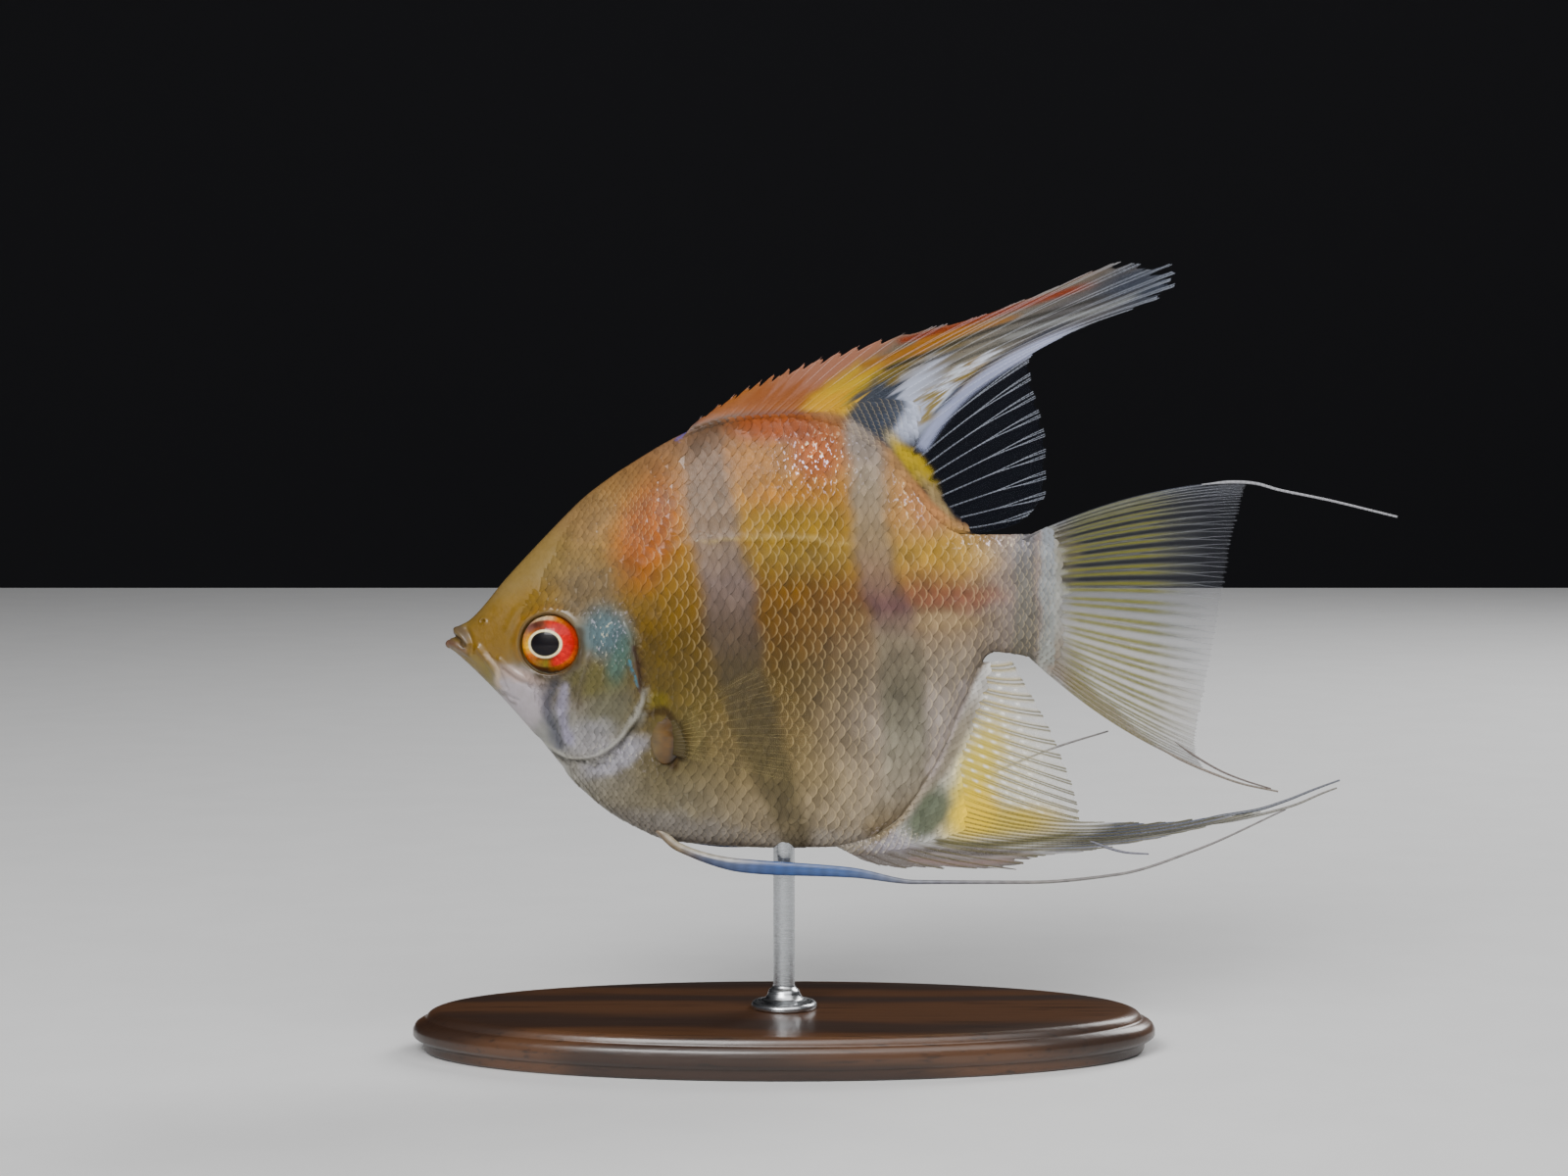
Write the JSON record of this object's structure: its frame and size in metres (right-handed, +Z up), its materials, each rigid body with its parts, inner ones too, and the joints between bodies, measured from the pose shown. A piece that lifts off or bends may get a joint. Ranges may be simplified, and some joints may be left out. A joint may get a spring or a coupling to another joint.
{
  "type": "freshwater angelfish model",
  "caption": "Still, life-size freshwater angelfish with swept dorsal and anal fin streamers and trailing pelvic feelers, held level over an oval wooden stand by a slim steel rod.",
  "frame": {"origin": "centre of the stand's underside, on the surface it stands on", "axes": "+Z up, -X the way the fish swims, +Y its right side"},
  "size_m": [0.1374, 0.046, 0.1102],
  "materials": {
    "skin": "satin",
    "dorsal_fin": "satin",
    "clear_fins": "satin",
    "pelvic_fins": "satin",
    "eyes": "gloss",
    "stand_wood": "satin",
    "stand_steel": "satin"
  },
  "bodies": {
    "root": {"head": "skin", "lower_jaw": "skin", "gill_cover_left": "skin", "gill_cover_right": "skin", "trunk": "skin", "tail_base": "skin", "dorsal_fin": "dorsal_fin", "anal_fin": "clear_fins", "caudal_fin": "clear_fins", "pectoral_fin_left": "clear_fins", "pectoral_fin_right": "clear_fins", "pelvic_fin_left": "pelvic_fins", "pelvic_fin_right": "pelvic_fins", "eye_left": "eyes", "eye_right": "eyes", "stand_base": "stand_wood", "stand_rod": "stand_steel"}
  },
  "joints": []
}
